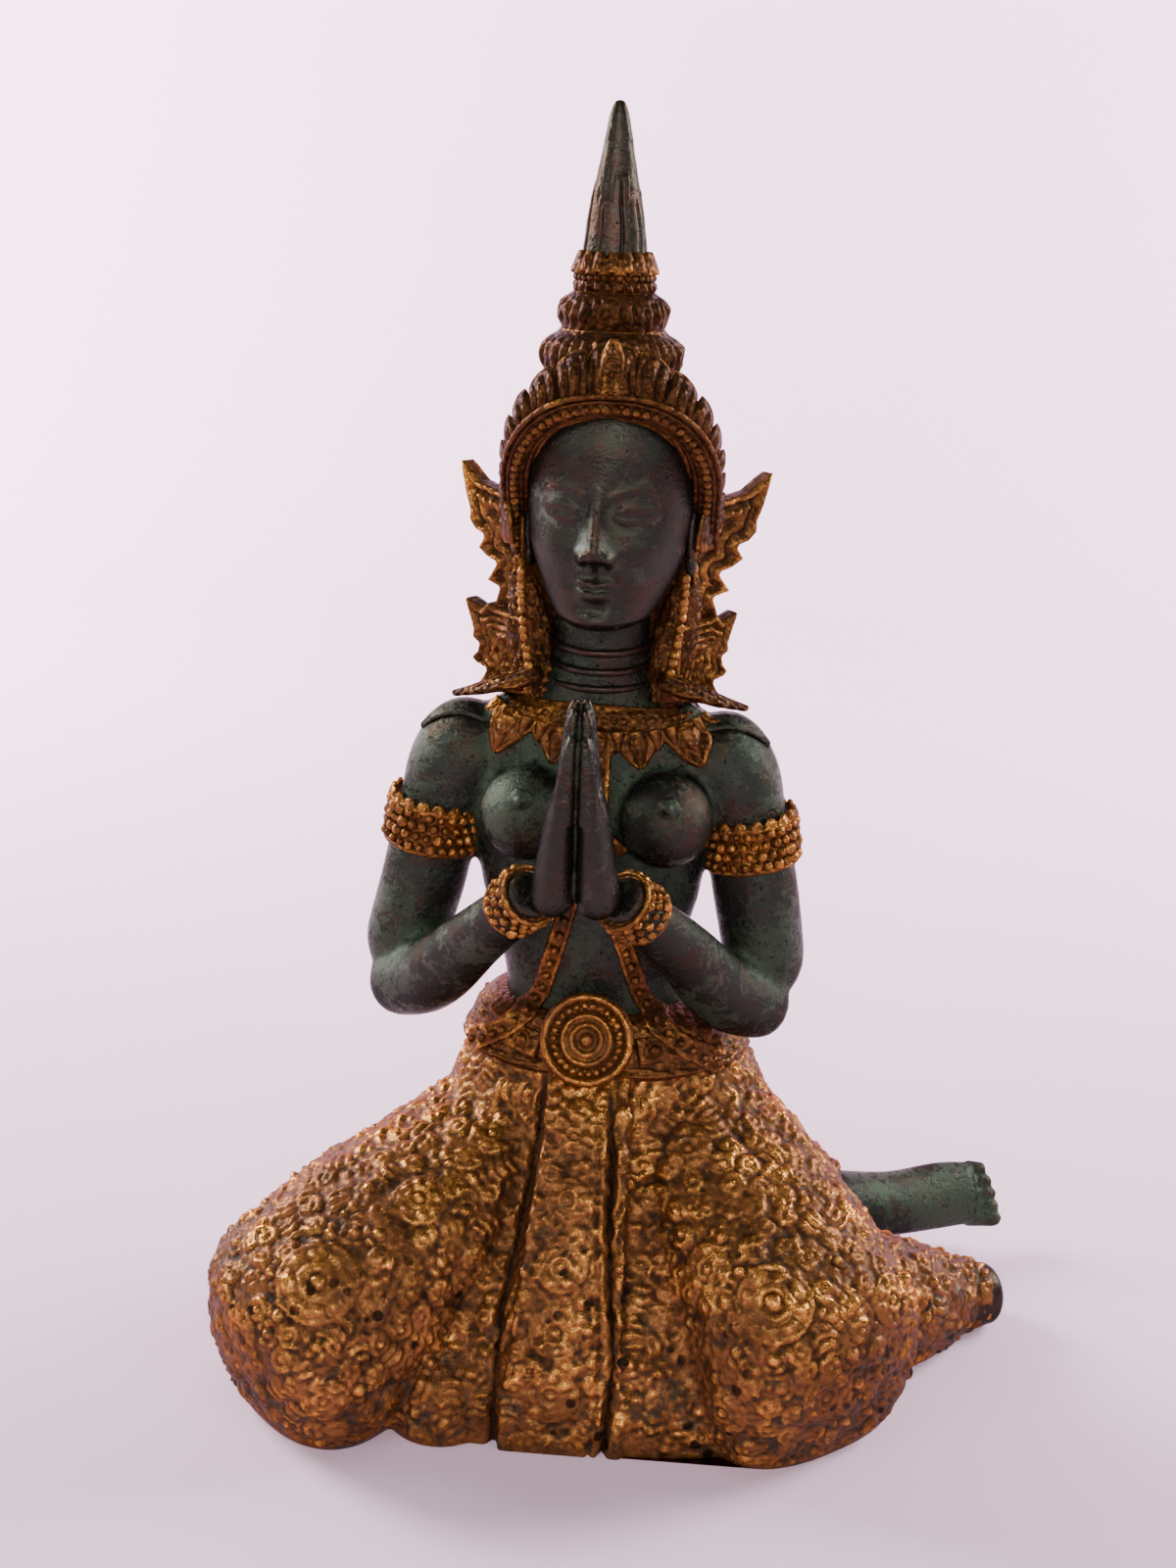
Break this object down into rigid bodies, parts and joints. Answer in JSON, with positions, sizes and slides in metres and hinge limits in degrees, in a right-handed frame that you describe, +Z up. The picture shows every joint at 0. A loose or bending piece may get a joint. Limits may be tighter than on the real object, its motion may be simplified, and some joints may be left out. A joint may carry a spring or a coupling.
{
  "type": "thepphanom figure",
  "caption": "Cast bronze kneeling celestial figure with hands joined in prayer, tiered pointed crown, flame ear ornaments and a gilded patterned sarong.",
  "frame": {"origin": "On the flat underside, on the table, below the axis of the torso.", "axes": "+Z up from the table to the crown's tip. The figure faces -Y, and its own left, where both lower legs fold, is +X."},
  "size_m": [0.1769, 0.1069, 0.2595],
  "materials": {
    "bronze": "dark green-brown patina, sarong and crown with worn gilding"
  },
  "bodies": {
    "root": {"figure": "bronze"}
  },
  "joints": []
}
